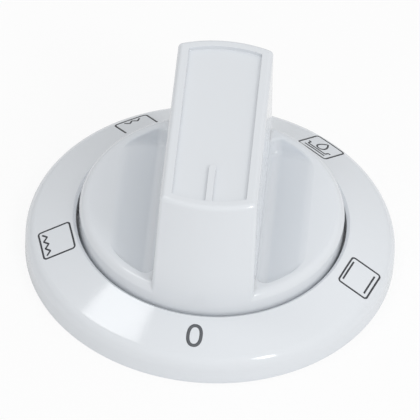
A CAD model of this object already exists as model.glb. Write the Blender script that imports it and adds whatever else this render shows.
import math

import bmesh
import bpy
from bpy.props import FloatProperty, FloatVectorProperty, PointerProperty
from mathutils import Matrix, Vector


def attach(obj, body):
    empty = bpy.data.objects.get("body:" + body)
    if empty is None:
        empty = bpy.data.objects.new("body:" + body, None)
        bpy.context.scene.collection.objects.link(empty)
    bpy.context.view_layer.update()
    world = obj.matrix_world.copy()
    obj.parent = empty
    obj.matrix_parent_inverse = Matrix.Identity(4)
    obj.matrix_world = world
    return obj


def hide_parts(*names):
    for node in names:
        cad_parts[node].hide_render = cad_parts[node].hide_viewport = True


bl_info = {
    "name": "Oven Function Knob",
    "version": (1, 0, 0),
    "blender": (4, 5, 0),
    "location": "3D View > Sidebar > Knob",
    "description": "Oven function knob: moulded plastics, printed dial marks, studio stage",
    "category": "Object",
}

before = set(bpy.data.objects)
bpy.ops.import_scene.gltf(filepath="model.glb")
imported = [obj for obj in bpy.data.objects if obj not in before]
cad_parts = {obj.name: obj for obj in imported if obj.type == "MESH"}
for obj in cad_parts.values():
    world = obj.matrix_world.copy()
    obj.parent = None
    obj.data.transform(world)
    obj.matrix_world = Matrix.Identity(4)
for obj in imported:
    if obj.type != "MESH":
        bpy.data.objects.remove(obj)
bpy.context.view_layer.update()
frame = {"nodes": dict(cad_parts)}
MM = 0.001
PHOTO_SIZE = 420  # the photograph is square, in pixels
SENSOR_WIDTH = 36.0  # in millimetres
WELD = 0.001 * MM  # corners that lie nearer together than this are merged
SLACK = 0.01 * MM  # a face may lie this far below the recess's floor and still count
LEVEL = 0.999  # least upward part of a level face's normal
UPRIGHT = 0.01  # greatest upward part of an upright face's normal
FLAT_ANGLE = math.radians(0.5)  # neighbours that bend less than this become one face
BEVEL_SEGMENTS = 3


class KnobFinish(bpy.types.PropertyGroup):
    """Colours and surface values of the knob's materials"""

    shell_colour: FloatVectorProperty(
        name="Shell Colour",
        description="Cool white of the dial ring and the knob body",
        subtype="COLOR",
        size=3,
        min=0.0,
        max=1.0,
        default=(0.79, 0.82, 0.855),
    )
    shell_roughness: FloatProperty(
        name="Shell Roughness",
        description="How soft reflections look on the white mouldings",
        subtype="FACTOR",
        min=0.0,
        max=1.0,
        default=0.1,
    )
    ink_colour: FloatVectorProperty(
        name="Ink Colour",
        description="Dark grey ink of the four oven marks",
        subtype="COLOR",
        size=3,
        min=0.0,
        max=1.0,
        default=(0.045, 0.048, 0.056),
    )
    nought_colour: FloatVectorProperty(
        name="Nought Colour",
        description="Paler grey ink of the nought",
        subtype="COLOR",
        size=3,
        min=0.0,
        max=1.0,
        default=(0.11, 0.118, 0.13),
    )
    insert_colour: FloatVectorProperty(
        name="Insert Colour",
        description="Heat-proof moulding that takes the spindle",
        subtype="COLOR",
        size=3,
        min=0.0,
        max=1.0,
        default=(0.028, 0.028, 0.031),
    )
    steel_colour: FloatVectorProperty(
        name="Clip Steel Colour",
        description="Spring steel of the leaf in the insert",
        subtype="COLOR",
        size=3,
        min=0.0,
        max=1.0,
        default=(0.56, 0.56, 0.57),
    )


class RecessEdges(bpy.types.PropertyGroup):
    """Where the grip's recess lies, and how much its edges are rounded"""

    floor: FloatProperty(
        name="Recess Floor",
        description="Height of the recess's floor",
        subtype="DISTANCE",
        unit="LENGTH",
        default=30.0 * MM,
    )
    half_width: FloatProperty(
        name="Half Width",
        description="From the middle of the grip to just outside the recess",
        subtype="DISTANCE",
        unit="LENGTH",
        default=6.8 * MM,
    )
    rounding: FloatProperty(
        name="Rounding",
        description="Rounding of the edges of the recess and of the pointer rib",
        subtype="DISTANCE",
        unit="LENGTH",
        default=0.28 * MM,
    )
    sharp_angle: FloatProperty(
        name="Sharp Angle",
        description="Angle between faces from which an edge stays sharp to the eye",
        subtype="ANGLE",
        unit="ROTATION",
        default=math.radians(40.0),
    )


class DialMarks(bpy.types.PropertyGroup):
    """Sizes of the printed marks and of the ring that they lie on"""

    hole_radius: FloatProperty(
        name="Hole Radius",
        description="Radius of the ring's hole, where the cone would start",
        subtype="DISTANCE",
        unit="LENGTH",
        default=23.4 * MM,
    )
    crest: FloatProperty(
        name="Crest Height",
        description="Height at which the ring's cone would meet the hole's wall",
        subtype="DISTANCE",
        unit="LENGTH",
        default=8.05 * MM,
    )
    slope: FloatProperty(
        name="Cone Slope",
        description="Fall of the ring's cone",
        subtype="ANGLE",
        unit="ROTATION",
        default=math.radians(23.0),
    )
    turn: FloatProperty(
        name="Dial Turn",
        description="How far the print stands turned against the pointer",
        subtype="ANGLE",
        unit="ROTATION",
        default=math.radians(-2.45),
    )
    offset: FloatProperty(
        name="Print Offset",
        description="How far the print's centre lies off the ring's axis, towards +X",
        subtype="DISTANCE",
        unit="LENGTH",
        default=0.48 * MM,
    )
    width: FloatProperty(
        name="Mark Width",
        description="Width of the oven outline, across the slope",
        subtype="DISTANCE",
        unit="LENGTH",
        default=6.25 * MM,
    )
    height: FloatProperty(
        name="Mark Height",
        description="Height of the oven outline, along the slope",
        subtype="DISTANCE",
        unit="LENGTH",
        default=5.77 * MM,
    )
    inner_edge: FloatProperty(
        name="Inner Edge",
        description="Distance from the cone's start to a mark's inner side, along the slope",
        subtype="DISTANCE",
        unit="LENGTH",
        default=1.67 * MM,
    )
    stroke: FloatProperty(
        name="Stroke",
        description="Width of the oven outlines and what they hold",
        subtype="DISTANCE",
        unit="LENGTH",
        default=0.33 * MM,
    )
    corner: FloatProperty(
        name="Corner Radius",
        description="Rounding of the oven outline's corners",
        subtype="DISTANCE",
        unit="LENGTH",
        default=0.5 * MM,
    )
    nought_width: FloatProperty(
        name="Nought Width",
        description="Overall width of the nought",
        subtype="DISTANCE",
        unit="LENGTH",
        default=2.8 * MM,
    )
    nought_height: FloatProperty(
        name="Nought Height",
        description="Overall height of the nought, along the slope",
        subtype="DISTANCE",
        unit="LENGTH",
        default=4.18 * MM,
    )
    nought_stroke: FloatProperty(
        name="Nought Stroke",
        description="Stroke width of the nought",
        subtype="DISTANCE",
        unit="LENGTH",
        default=0.58 * MM,
    )
    ink: FloatProperty(
        name="Ink Thickness",
        description="How far the ink stands on the plastic",
        subtype="DISTANCE",
        unit="LENGTH",
        default=0.02 * MM,
    )


class KnobStage(bpy.types.PropertyGroup):
    """Camera, lamps and floor"""

    azimuth: FloatProperty(
        name="Camera Azimuth",
        description="Camera direction round the knob, from the pointer's end towards the right",
        subtype="ANGLE",
        unit="ROTATION",
        default=math.radians(2.1),
    )
    elevation: FloatProperty(
        name="Camera Elevation",
        description="Camera height angle above the floor",
        subtype="ANGLE",
        unit="ROTATION",
        default=math.radians(44.67),
    )
    roll: FloatProperty(
        name="Camera Roll",
        description="Turn of the picture about the line of sight",
        subtype="ANGLE",
        unit="ROTATION",
        default=math.radians(3.5),
    )
    distance: FloatProperty(
        name="Camera Distance",
        description="From the camera to the middle of the knob's foot",
        subtype="DISTANCE",
        unit="LENGTH",
        default=1.12,
    )
    focal_pixels: FloatProperty(
        name="Focal Length in Pixels",
        description="Focal length of the photograph's camera, in its pixels",
        default=6458.8,
    )
    foot_x: FloatProperty(
        name="Foot X",
        description="Pixel column at which the middle of the knob's foot shows",
        subtype="PIXEL",
        default=209.6,
    )
    foot_y: FloatProperty(
        name="Foot Y",
        description="Pixel row at which the middle of the knob's foot shows",
        subtype="PIXEL",
        default=249.9,
    )
    high_power: FloatProperty(
        name="High Lamp",
        description="Power of the small soft box high at the left, seen in the dial ring's cone",
        subtype="POWER",
        unit="POWER",
        default=0.33,
    )
    front_power: FloatProperty(
        name="Front Lamp",
        description="Power of the narrow soft box at the front right, seen in the ring's edge",
        subtype="POWER",
        unit="POWER",
        default=0.6,
    )
    room_base: FloatProperty(
        name="Room Base",
        description="Even light from all round",
        default=0.32,
    )
    room_top: FloatProperty(
        name="Room Top",
        description="Light added towards the zenith",
        default=0.57,
    )
    room_front: FloatProperty(
        name="Room Front",
        description="Light added towards the pointer's end",
        default=0.34,
    )
    room_side: FloatProperty(
        name="Room Side",
        description="Light added towards the right and taken off towards the left",
        default=0.17,
    )
    floor_white: FloatProperty(
        name="Floor White",
        description="Share of plain white that the camera sees in the floor, over its shadow",
        subtype="FACTOR",
        min=0.0,
        max=1.0,
        default=0.85,
    )
    floor_mirrored: FloatProperty(
        name="Floor Mirrored",
        description="Share of plain white in the floor where glossy surfaces mirror it",
        subtype="FACTOR",
        min=0.0,
        max=1.0,
        default=0.1,
    )


def node_value(socket, value):
    """Links a socket, or sets a plain value"""
    tree = socket.id_data
    if isinstance(value, bpy.types.NodeSocket):
        tree.links.new(value, socket)
    else:
        socket.default_value = value


def math_node(tree, operation, first, second=0.0):
    """One Math node, and its result"""
    node = tree.nodes.new("ShaderNodeMath")
    node.operation = operation
    node_value(node.inputs[0], first)
    node_value(node.inputs[1], second)
    return node.outputs[0]


def grain(tree, scale, detail, stretch=(1.0, 1.0, 1.0)):
    """Noise on Object coordinates, which ride with the piece; scale counts its cells in a metre"""
    place = tree.nodes.new("ShaderNodeTexCoord")
    mapping = tree.nodes.new("ShaderNodeMapping")
    mapping.inputs["Scale"].default_value = stretch
    noise = tree.nodes.new("ShaderNodeTexNoise")
    noise.inputs["Scale"].default_value = scale
    noise.inputs["Detail"].default_value = detail
    tree.links.new(place.outputs["Object"], mapping.inputs["Vector"])
    tree.links.new(mapping.outputs["Vector"], noise.inputs["Vector"])
    return noise.outputs["Fac"]


def spread(tree, fac, low, high):
    """Maps a noise's middle range to low and high"""
    node = tree.nodes.new("ShaderNodeMapRange")
    node.inputs["From Min"].default_value = 0.3
    node.inputs["From Max"].default_value = 0.7
    node.inputs["To Min"].default_value = low
    node.inputs["To Max"].default_value = high
    tree.links.new(fac, node.inputs["Value"])
    return node.outputs["Result"]


def shade(tree, fac, colour, change):
    """A colour that drifts from a little darker to a little lighter"""
    mix = tree.nodes.new("ShaderNodeMix")
    mix.data_type = "RGBA"
    mix.inputs["A"].default_value = (*[c * (1 - change) for c in colour], 1.0)
    mix.inputs["B"].default_value = (*[min(1.0, c * (1 + change)) for c in colour], 1.0)
    tree.links.new(fac, mix.inputs["Factor"])
    return mix.outputs["Result"]


def relief(tree, height, strength, distance):
    """A Bump node's normal"""
    bump = tree.nodes.new("ShaderNodeBump")
    bump.inputs["Strength"].default_value = strength
    bump.inputs["Distance"].default_value = distance
    tree.links.new(height, bump.inputs["Height"])
    return bump.outputs["Normal"]


def new_finish(name):
    """A material with its shader, ready for its values"""
    finish = bpy.data.materials.new(name)
    finish.use_nodes = True
    return finish, finish.node_tree, finish.node_tree.nodes["Principled BSDF"]


def set_look(tree, shader, colour, roughness, normal=None):
    """Links a finish's colour, roughness and relief to its shader"""
    tree.links.new(colour, shader.inputs["Base Color"])
    tree.links.new(roughness, shader.inputs["Roughness"])
    if normal is not None:
        tree.links.new(normal, shader.inputs["Normal"])


def white_moulding():
    """Cool white glossy plastic: faint flow shading, soft mould polish, fine orange peel"""
    values = bpy.context.scene.knob_finish
    finish, tree, shader = new_finish("white_moulding")
    flow = grain(tree, scale=38.0, detail=3.0)
    polish = grain(tree, scale=260.0, detail=4.0)
    peel = grain(tree, scale=1500.0, detail=2.0)
    colour = shade(tree, flow, values.shell_colour, change=0.012)
    drift = 0.02
    low = values.shell_roughness - drift
    high = values.shell_roughness + drift
    roughness = spread(tree, polish, low, high)
    normal = relief(tree, peel, strength=0.03, distance=0.05 * MM)
    set_look(tree, shader, colour, roughness, normal)
    shader.inputs["IOR"].default_value = 1.5
    shader.inputs["Coat Weight"].default_value = 0.15
    shader.inputs["Coat Roughness"].default_value = 0.06
    return finish


def pad_ink(name, colour):
    """Grey pad-printed ink, a little uneven"""
    finish, tree, shader = new_finish(name)
    patch = grain(tree, scale=900.0, detail=3.0)
    uneven = shade(tree, patch, colour, change=0.14)
    roughness = spread(tree, patch, low=0.36, high=0.5)
    set_look(tree, shader, uneven, roughness)
    return finish


def insert_moulding():
    """Matt dark heat-proof moulding with a fine grain"""
    values = bpy.context.scene.knob_finish
    finish, tree, shader = new_finish("insert_moulding")
    speck = grain(tree, scale=2400.0, detail=4.0)
    colour = shade(tree, speck, values.insert_colour, change=0.3)
    roughness = spread(tree, speck, low=0.5, high=0.68)
    normal = relief(tree, speck, strength=0.25, distance=0.1 * MM)
    set_look(tree, shader, colour, roughness, normal)
    return finish


def clip_steel():
    """Rolled spring steel, its grain along the leaf"""
    values = bpy.context.scene.knob_finish
    finish, tree, shader = new_finish("clip_steel")
    rolled = grain(tree, scale=900.0, detail=3.0, stretch=(1.0, 1.0, 0.04))
    colour = shade(tree, rolled, values.steel_colour, change=0.1)
    roughness = spread(tree, rolled, low=0.2, high=0.34)
    normal = relief(tree, rolled, strength=0.2, distance=0.05 * MM)
    set_look(tree, shader, colour, roughness, normal)
    shader.inputs["Metallic"].default_value = 1.0
    return finish


def set_finish(piece, finish):
    """Gives a piece one material"""
    piece.data.materials.clear()
    piece.data.materials.append(finish)


def within(element, reach):
    """Whether all of a face or an edge lies nearer to the grip's middle plane than a reach"""
    return max(abs(vert.co.x) for vert in element.verts) < reach


def recess_parts(mesh, recess):
    """Faces of the grip's top, of the recess and of the pointer rib"""
    lowest = recess.floor - SLACK
    parts = []
    for face in mesh.faces:
        above = min(vert.co.z for vert in face.verts) > lowest
        level = face.normal.z > LEVEL
        upright = abs(face.normal.z) < UPRIGHT and within(face, recess.half_width)
        if above and (level or upright):
            parts.append(face)
    return parts


def round_recess(mesh, recess):
    """Rounds the edges of the recess and of the pointer rib, once their triangles are merged"""
    edges = dict.fromkeys(edge for face in recess_parts(mesh, recess) for edge in face.edges)
    verts = dict.fromkeys(vert for edge in edges for vert in edge.verts)
    bmesh.ops.dissolve_limit(mesh, angle_limit=FLAT_ANGLE, verts=list(verts), edges=list(edges))
    sharp = {}
    for face in recess_parts(mesh, recess):
        for edge in face.edges:
            bent = edge.calc_face_angle(0.0) > recess.sharp_angle
            if bent and within(edge, recess.half_width):
                sharp[edge] = True
    bmesh.ops.bevel(
        mesh,
        geom=list(sharp),
        offset=recess.rounding,
        offset_type="OFFSET",
        segments=BEVEL_SEGMENTS,
        profile=0.5,
        affect="EDGES",
        clamp_overlap=True,
    )


class KNOB_OT_soften_recess(bpy.types.Operator):
    """Stand a copy of the knob body in for it, with rounded edges in the grip's recess"""

    bl_idname = "knob.soften_recess"
    bl_label = "Soften Recess"

    def execute(self, context):
        recess = context.scene.recess_edges
        mesh = frame["nodes"]["knob_body"].data.copy()
        mesh.name = "knob_shell"
        shape = bmesh.new()
        shape.from_mesh(mesh)
        bmesh.ops.remove_doubles(shape, verts=shape.verts, dist=WELD)
        round_recess(shape, recess)
        for face in shape.faces:
            face.smooth = True
        shape.to_mesh(mesh)
        shape.free()
        mesh.set_sharp_from_angle(angle=recess.sharp_angle)
        shell = bpy.data.objects.new("knob_shell", mesh)
        context.scene.collection.objects.link(shell)
        evened = shell.modifiers.new("even_shading", "WEIGHTED_NORMAL")
        evened.keep_sharp = True
        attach(shell, "knob")
        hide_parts("knob_body")
        return {"FINISHED"}


class KNOB_OT_finish_mouldings(bpy.types.Operator):
    """Give the dial ring and the knob body their white plastic"""

    bl_idname = "knob.finish_mouldings"
    bl_label = "Finish White Mouldings"

    def execute(self, context):
        finish = white_moulding()
        nodes = frame["nodes"]
        for piece in (nodes["dial_ring"], nodes["knob_body"], bpy.data.objects["knob_shell"]):
            set_finish(piece, finish)
        return {"FINISHED"}


class KNOB_OT_finish_socket(bpy.types.Operator):
    """Give the shaft insert its dark moulding and the clip its steel"""

    bl_idname = "knob.finish_socket"
    bl_label = "Finish Shaft Socket"

    def execute(self, context):
        set_finish(frame["nodes"]["shaft_insert"], insert_moulding())
        set_finish(frame["nodes"]["shaft_clip"], clip_steel())
        return {"FINISHED"}


def rounded_corner(before, corner, after, radius, steps=6):
    """Points of a rounded corner between two straight strokes"""
    first = (Vector(before) - Vector(corner)).normalized()
    second = (Vector(after) - Vector(corner)).normalized()
    half = first.angle(second) / 2
    start = Vector(corner) + first * radius / math.tan(half)
    end = Vector(corner) + second * radius / math.tan(half)
    centre = Vector(corner) + (first + second).normalized() * radius / math.sin(half)
    points = []
    for step in range(steps + 1):
        chord = start.lerp(end, step / steps) - centre
        points.append(centre + chord.normalized() * radius)
    return points


def rounded_line(points, radius, closed=False):
    """A line through points, its corners rounded"""
    count = len(points)
    line = []
    for index, point in enumerate(points):
        if not closed and index in (0, count - 1):
            line.append(Vector(point))
        else:
            after = points[(index + 1) % count]
            line.extend(rounded_corner(points[index - 1], point, after, radius))
    return line


def in_outline(marks, share):
    """A point given in shares of the oven outline, in metres across and along the slope"""
    return Vector(((0.5 - share[0]) * marks.width, marks.inner_edge + share[1] * marks.height))


def oven_line(marks, shares, radius, closed=False):
    """A rounded line inside the oven outline, its points given in shares of the outline"""
    return rounded_line([in_outline(marks, share) for share in shares], radius, closed), closed


def oven_outline(marks):
    """The closed oven outline"""
    return [oven_line(marks, [(0, 0), (0, 1), (1, 1), (1, 0)], marks.corner, closed=True)]


def open_outline(marks, low):
    """The oven outline without its inner side, its sides ending at a share of the height"""
    return [oven_line(marks, [(0, low), (0, 1), (1, 1), (1, low)], marks.corner)]


def grill_element(marks, left, right, teeth):
    """Zigzag grill element near the outline's outer side"""
    outer, inner = 0.895, 0.755
    step = (right - left) / (2 * teeth)
    shares = [(left + step * i, inner if i % 2 else outer) for i in range(2 * teeth + 1)]
    return [oven_line(marks, shares, radius=0.08 * MM)]


def heating_bar(marks, height):
    """Straight heating element beside the outline's inner or outer side"""
    left, right = 0.14, 0.87
    return [oven_line(marks, [(left, height), (right, height)], radius=0.0)]


def steam_drop(marks):
    """A drop, its tip towards the outline's outer side"""
    half_width, taper = 0.165, 0.9
    middle, tip, length = 0.5, 0.845, 0.48
    points = []
    count = 40
    for i in range(count):
        angle = 2 * math.pi * i / count
        across = half_width * math.sin(angle) * math.sin(angle / 2) ** taper
        along = tip - length * (1 - math.cos(angle)) / 2
        points.append(in_outline(marks, (middle + across, along)))
    return [(points, True)]


def dripping_tray(marks):
    """A shallow tray with turned-out rims, and the heating bar under it"""
    rim, base = 0.42, 0.27
    shares = [(0.1, rim), (0.17, rim), (0.185, base), (0.815, base), (0.83, rim), (0.9, rim)]
    return [oven_line(marks, shares, radius=0.1 * MM)] + heating_bar(marks, height=0.155)


def nought_line(marks):
    """The nought's middle line, a little squarer than an ellipse"""
    half_width = (marks.nought_width - marks.nought_stroke) / 2
    half_height = (marks.nought_height - marks.nought_stroke) / 2
    middle_share = 0.43
    middle = marks.inner_edge + middle_share * marks.height
    squareness = 0.86
    points = []
    count = 64
    for i in range(count):
        angle = 2 * math.pi * i / count
        across = math.copysign(abs(math.cos(angle)) ** squareness, math.cos(angle))
        along = math.copysign(abs(math.sin(angle)) ** squareness, math.sin(angle))
        points.append(Vector((half_width * across, middle + half_height * along)))
    return [(points, True)]


def stroke_curve(name, lines):
    """A flat curve object of poly lines, X across the slope and Y along it"""
    curve = bpy.data.curves.new(name, "CURVE")
    curve.dimensions = "3D"
    for points, closed in lines:
        spline = curve.splines.new("POLY")
        spline.points.add(len(points) - 1)
        for spot, point in zip(spline.points, points):
            spot.co = (point.x, point.y, 0.0, 1.0)
        spline.use_cyclic_u = closed
    piece = bpy.data.objects.new(name, curve)
    bpy.context.scene.collection.objects.link(piece)
    return piece


def named_input(tree, name, subtype, default):
    """A named number input of a geometry tree"""
    socket = tree.interface.new_socket(name=name, in_out="INPUT", socket_type="NodeSocketFloat")
    socket.subtype = subtype
    socket.default_value = default


def swept_strokes(tree, given):
    """Strokes with the width and thickness that the inputs say"""
    nodes = tree.nodes
    links = tree.links
    resample = nodes.new("GeometryNodeResampleCurve")
    resample.mode = "LENGTH"
    resample.inputs["Length"].default_value = 0.12 * MM
    upright = nodes.new("GeometryNodeSetCurveNormal")
    upright.mode = "Z_UP"
    section = nodes.new("GeometryNodeCurvePrimitiveQuadrilateral")
    sweep = nodes.new("GeometryNodeCurveToMesh")
    sweep.inputs["Fill Caps"].default_value = True
    links.new(given["Strokes"], resample.inputs["Curve"])
    links.new(resample.outputs["Curve"], upright.inputs["Curve"])
    links.new(given["Stroke"], section.inputs["Width"])
    links.new(given["Ink Thickness"], section.inputs["Height"])
    links.new(upright.outputs["Curve"], sweep.inputs["Curve"])
    links.new(section.outputs["Curve"], sweep.inputs["Profile Curve"])
    return sweep.outputs["Mesh"]


def cone_position(tree, given):
    """Where a point of the flat print lies on the ring's cone"""
    nodes = tree.nodes
    links = tree.links
    spot = nodes.new("ShaderNodeSeparateXYZ")
    links.new(nodes.new("GeometryNodeInputPosition").outputs["Position"], spot.inputs[0])
    across, along, lift = spot.outputs
    sine = math_node(tree, "SINE", given["Cone Slope"])
    cosine = math_node(tree, "COSINE", given["Cone Slope"])
    outwards = math_node(tree, "MULTIPLY", along, cosine)
    flat = nodes.new("ShaderNodeCombineXYZ")
    links.new(math_node(tree, "ADD", outwards, given["Hole Radius"]), flat.inputs["X"])
    links.new(across, flat.inputs["Y"])
    turned = nodes.new("ShaderNodeVectorRotate")
    turned.rotation_type = "Z_AXIS"
    links.new(flat.outputs["Vector"], turned.inputs["Vector"])
    links.new(given["Turn"], turned.inputs["Angle"])
    placed = nodes.new("ShaderNodeSeparateXYZ")
    links.new(turned.outputs["Vector"], placed.inputs[0])
    plan_x = math_node(tree, "ADD", placed.outputs["X"], given["Print Offset"])
    plan_y = placed.outputs["Y"]
    square_x = math_node(tree, "MULTIPLY", plan_x, plan_x)
    square_y = math_node(tree, "MULTIPLY", plan_y, plan_y)
    radius = math_node(tree, "SQRT", math_node(tree, "ADD", square_x, square_y))
    beyond = math_node(tree, "SUBTRACT", radius, given["Hole Radius"])
    fall = math_node(tree, "DIVIDE", math_node(tree, "MULTIPLY", beyond, sine), cosine)
    surface = math_node(tree, "SUBTRACT", given["Crest Height"], fall)
    raised = math_node(tree, "DIVIDE", math_node(tree, "MULTIPLY", lift, sine), radius)
    swell = math_node(tree, "ADD", raised, 1.0)
    height = math_node(tree, "ADD", surface, math_node(tree, "MULTIPLY", lift, cosine))
    wrapped = nodes.new("ShaderNodeCombineXYZ")
    links.new(math_node(tree, "MULTIPLY", plan_x, swell), wrapped.inputs["X"])
    links.new(math_node(tree, "MULTIPLY", plan_y, swell), wrapped.inputs["Y"])
    links.new(height, wrapped.inputs["Z"])
    return wrapped.outputs["Vector"]


def print_tree(marks):
    """Geometry tree that gives flat strokes their width and lays them on the ring's cone"""
    tree = bpy.data.node_groups.new("print_on_cone", "GeometryNodeTree")
    tree.is_modifier = True
    tree.interface.new_socket(name="Strokes", in_out="INPUT", socket_type="NodeSocketGeometry")
    named_input(tree, "Stroke", "DISTANCE", marks.stroke)
    named_input(tree, "Ink Thickness", "DISTANCE", marks.ink)
    named_input(tree, "Hole Radius", "DISTANCE", marks.hole_radius)
    named_input(tree, "Crest Height", "DISTANCE", marks.crest)
    named_input(tree, "Cone Slope", "ANGLE", marks.slope)
    named_input(tree, "Print Offset", "DISTANCE", marks.offset)
    named_input(tree, "Turn", "ANGLE", marks.turn)
    tree.interface.new_socket(name="Ink", in_out="INPUT", socket_type="NodeSocketMaterial")
    tree.interface.new_socket(name="Print", in_out="OUTPUT", socket_type="NodeSocketGeometry")
    nodes = tree.nodes
    links = tree.links
    given = nodes.new("NodeGroupInput").outputs
    lay = nodes.new("GeometryNodeSetPosition")
    links.new(swept_strokes(tree, given), lay.inputs["Geometry"])
    links.new(cone_position(tree, given), lay.inputs["Position"])
    # the way onto the cone mirrors the strokes, so their faces are turned back outwards
    outward = nodes.new("GeometryNodeFlipFaces")
    realize = nodes.new("GeometryNodeRealizeInstances")
    paint = nodes.new("GeometryNodeSetMaterial")
    links.new(given["Ink"], paint.inputs["Material"])
    links.new(lay.outputs["Geometry"], outward.inputs["Mesh"])
    links.new(outward.outputs["Mesh"], realize.inputs["Geometry"])
    links.new(realize.outputs["Geometry"], paint.inputs["Geometry"])
    links.new(paint.outputs["Geometry"], nodes.new("NodeGroupOutput").inputs["Print"])
    return tree


def tree_input(tree, name):
    """Identifier of a geometry tree's named input"""
    for item in tree.interface.items_tree:
        if item.name == name and item.in_out == "INPUT":
            return item.identifier
    raise KeyError(name)


def lay_print(strokes, tree, ink, turn, stroke):
    """Runs the geometry tree on flat strokes and keeps the result as a plain mesh"""
    modifier = strokes.modifiers.new("print", "NODES")
    modifier.node_group = tree
    modifier[tree_input(tree, "Turn")] = turn
    modifier[tree_input(tree, "Stroke")] = stroke
    modifier[tree_input(tree, "Ink")] = ink
    view = bpy.context.evaluated_depsgraph_get()
    evaluated = strokes.evaluated_get(view)
    mesh = bpy.data.meshes.new_from_object(evaluated, depsgraph=view)
    name = strokes.name
    curve = strokes.data
    bpy.data.objects.remove(strokes)
    bpy.data.curves.remove(curve)
    mesh.name = name
    piece = bpy.data.objects.new(name, mesh)
    bpy.context.scene.collection.objects.link(piece)
    set_finish(piece, ink)
    return piece


class KNOB_OT_print_marks(bpy.types.Operator):
    """Print the nought and the four oven marks on the dial ring's cone"""

    bl_idname = "knob.print_marks"
    bl_label = "Print Dial Marks"

    def execute(self, context):
        marks = context.scene.dial_marks
        values = context.scene.knob_finish
        tree = print_tree(marks)
        nought_ink = pad_ink("nought_ink", values.nought_colour)
        mark_ink = pad_ink("mark_ink", values.ink_colour)
        outline = oven_outline(marks)
        two_bars = outline + heating_bar(marks, height=0.1) + heating_bar(marks, height=0.86)
        drop_tray = outline + steam_drop(marks) + dripping_tray(marks)
        small_grill = open_outline(marks, low=0.23)
        small_grill += grill_element(marks, left=0.26, right=0.74, teeth=2)
        full_grill = outline + grill_element(marks, left=0.1, right=0.89, teeth=3)
        prints = [
            ("mark_nought", nought_line(marks), marks.nought_stroke, nought_ink),
            ("mark_two_bars", two_bars, marks.stroke, mark_ink),
            ("mark_drop_tray", drop_tray, marks.stroke, mark_ink),
            ("mark_small_grill", small_grill, marks.stroke, mark_ink),
            ("mark_full_grill", full_grill, marks.stroke, mark_ink),
        ]
        pointer_end = -90
        for index, (name, lines, stroke, ink) in enumerate(prints):
            turn = marks.turn + math.radians(360 / len(prints) * index + pointer_end)
            piece = lay_print(stroke_curve(name, lines), tree, ink, turn, stroke)
            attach(piece, "dial")
        return {"FINISHED"}


def plain_white(seen_white, mirrored_white):
    """Floor finish: a pale surface that keeps its shadow, under plain white where it is seen"""
    finish = bpy.data.materials.new("floor_white")
    finish.use_nodes = True
    tree = finish.node_tree
    tree.nodes.clear()
    pale = 0.93
    surface = tree.nodes.new("ShaderNodeBsdfDiffuse")
    surface.inputs["Color"].default_value = (pale, pale, pale, 1.0)
    white = tree.nodes.new("ShaderNodeEmission")
    white.inputs["Color"].default_value = (1.0, 1.0, 1.0, 1.0)
    ray = tree.nodes.new("ShaderNodeLightPath").outputs
    mix = tree.nodes.new("ShaderNodeMixShader")
    out = tree.nodes.new("ShaderNodeOutputMaterial")
    bounced = math_node(tree, "MAXIMUM", ray["Is Glossy Ray"], ray["Is Transmission Ray"])
    mirrored = math_node(tree, "MULTIPLY", bounced, mirrored_white)
    seen = math_node(tree, "MULTIPLY", ray["Is Camera Ray"], seen_white)
    share = math_node(tree, "MAXIMUM", seen, mirrored)
    tree.links.new(share, mix.inputs["Fac"])
    tree.links.new(surface.outputs["BSDF"], mix.inputs[1])
    tree.links.new(white.outputs["Emission"], mix.inputs[2])
    tree.links.new(mix.outputs["Shader"], out.inputs["Surface"])
    return finish


def add_lamp(name, power, width, height, place):
    """A rectangular soft box at a place, turned to the knob"""
    light = bpy.data.lights.new(name, "AREA")
    light.shape = "RECTANGLE"
    light.energy = power
    light.size = width
    light.size_y = height
    lamp = bpy.data.objects.new(name, light)
    lamp.location = place
    lamp.rotation_euler = (-Vector(place)).to_track_quat("-Z", "Y").to_euler()
    bpy.context.scene.collection.objects.link(lamp)


def direction(azimuth, elevation):
    """Unit vector towards a point round the knob, azimuth counted from -Y to +X"""
    flat = math.cos(elevation)
    return Vector((math.sin(azimuth) * flat, -math.cos(azimuth) * flat, math.sin(elevation)))


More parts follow.
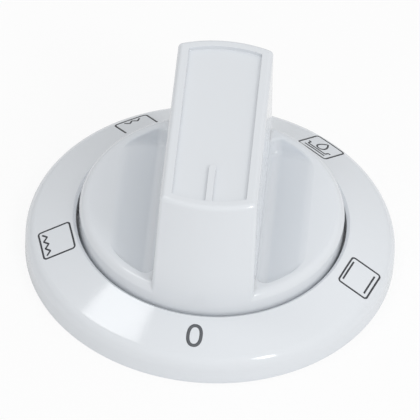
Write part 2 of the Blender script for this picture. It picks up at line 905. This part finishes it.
class KNOB_OT_build_stage(bpy.types.Operator):
    """Set up the floor, the world, the lamps and the camera"""

    bl_idname = "knob.build_stage"
    bl_label = "Build Stage"

    def execute(self, context):
        scene = context.scene
        stage = scene.knob_stage
        scene.view_settings.view_transform = "Standard"
        self.add_floor(stage)
        self.light_world(scene, stage)
        far = 0.7
        high = direction(azimuth=math.radians(-104), elevation=math.radians(66)) * far
        front = direction(azimuth=math.radians(40), elevation=math.radians(41)) * far
        add_lamp("high_lamp", stage.high_power, width=0.12, height=0.2, place=high)
        add_lamp("front_lamp", stage.front_power, width=0.1, height=0.2, place=front)
        self.add_camera(scene, stage)
        return {"FINISHED"}

    def add_floor(self, stage):
        """A white floor under the knob"""
        half = 3.0
        mesh = bpy.data.meshes.new("floor")
        corners = [(-half, -half, 0.0), (half, -half, 0.0), (half, half, 0.0), (-half, half, 0.0)]
        mesh.from_pydata(corners, [], [(0, 1, 2, 3)])
        floor = bpy.data.objects.new("floor", mesh)
        bpy.context.scene.collection.objects.link(floor)
        set_finish(floor, plain_white(stage.floor_white, stage.floor_mirrored))

    def light_world(self, scene, stage):
        """Soft light from all round, stronger from above, from the front and from the right"""
        world = bpy.data.worlds.new("soft_room")
        world.use_nodes = True
        tree = world.node_tree
        place = tree.nodes.new("ShaderNodeTexCoord")
        axes = tree.nodes.new("ShaderNodeSeparateXYZ")
        tree.links.new(place.outputs["Generated"], axes.inputs[0])
        upwards = math_node(tree, "MAXIMUM", axes.outputs["Z"])
        forwards = math_node(tree, "MAXIMUM", math_node(tree, "MULTIPLY", axes.outputs["Y"], -1.0))
        top = math_node(tree, "MULTIPLY", upwards, stage.room_top)
        front = math_node(tree, "MULTIPLY", forwards, stage.room_front)
        side = math_node(tree, "MULTIPLY", axes.outputs["X"], stage.room_side)
        shares = math_node(tree, "ADD", math_node(tree, "ADD", top, front), side)
        strength = math_node(tree, "ADD", shares, stage.room_base)
        tree.links.new(strength, tree.nodes["Background"].inputs["Strength"])
        tree.nodes["Background"].inputs["Color"].default_value = (1.0, 1.0, 1.0, 1.0)
        scene.world = world

    def add_camera(self, scene, stage):
        """The photograph's camera, from its direction, distance, focal length and foot pixel"""
        back = direction(stage.azimuth, stage.elevation)
        level = Vector((math.cos(stage.azimuth), math.sin(stage.azimuth), 0.0))
        rise = back.cross(level)
        right = level * math.cos(stage.roll) + rise * math.sin(stage.roll)
        up = rise * math.cos(stage.roll) - level * math.sin(stage.roll)
        per_pixel = stage.distance / stage.focal_pixels
        middle = PHOTO_SIZE / 2
        place = back * stage.distance
        place -= right * (stage.foot_x - middle) * per_pixel
        place += up * (stage.foot_y - middle) * per_pixel
        lens = bpy.data.cameras.new("photo_camera")
        lens.sensor_width = SENSOR_WIDTH
        lens.lens = stage.focal_pixels * SENSOR_WIDTH / PHOTO_SIZE
        lens.clip_start = 0.01
        camera = bpy.data.objects.new("photo_camera", lens)
        turn = Matrix((right, up, back)).transposed()
        camera.matrix_world = Matrix.Translation(place) @ turn.to_4x4()
        scene.collection.objects.link(camera)
        scene.camera = camera


class VIEW3D_PT_oven_knob(bpy.types.Panel):
    """Steps and sizes of the oven function knob"""

    bl_label = "Oven Function Knob"
    bl_space_type = "VIEW_3D"
    bl_region_type = "UI"
    bl_category = "Knob"

    def draw(self, context):
        layout = self.layout
        for operator in STEPS:
            layout.operator(operator.bl_idname)
        scene = context.scene
        for group in (scene.recess_edges, scene.knob_finish, scene.dial_marks, scene.knob_stage):
            box = layout.box()
            for name in group.__annotations__:
                box.prop(group, name)


STEPS = (
    KNOB_OT_soften_recess,
    KNOB_OT_finish_mouldings,
    KNOB_OT_finish_socket,
    KNOB_OT_print_marks,
    KNOB_OT_build_stage,
)
CLASSES = (KnobFinish, RecessEdges, DialMarks, KnobStage, *STEPS, VIEW3D_PT_oven_knob)


def register():
    for cls in CLASSES:
        bpy.utils.register_class(cls)
    bpy.types.Scene.knob_finish = PointerProperty(type=KnobFinish)
    bpy.types.Scene.recess_edges = PointerProperty(type=RecessEdges)
    bpy.types.Scene.dial_marks = PointerProperty(type=DialMarks)
    bpy.types.Scene.knob_stage = PointerProperty(type=KnobStage)


def unregister():
    del bpy.types.Scene.knob_stage
    del bpy.types.Scene.dial_marks
    del bpy.types.Scene.recess_edges
    del bpy.types.Scene.knob_finish
    for cls in reversed(CLASSES):
        bpy.utils.unregister_class(cls)


def main():
    register()
    bpy.ops.knob.soften_recess()
    bpy.ops.knob.finish_mouldings()
    bpy.ops.knob.finish_socket()
    bpy.ops.knob.print_marks()
    bpy.ops.knob.build_stage()


if __name__ == "__main__":
    main()
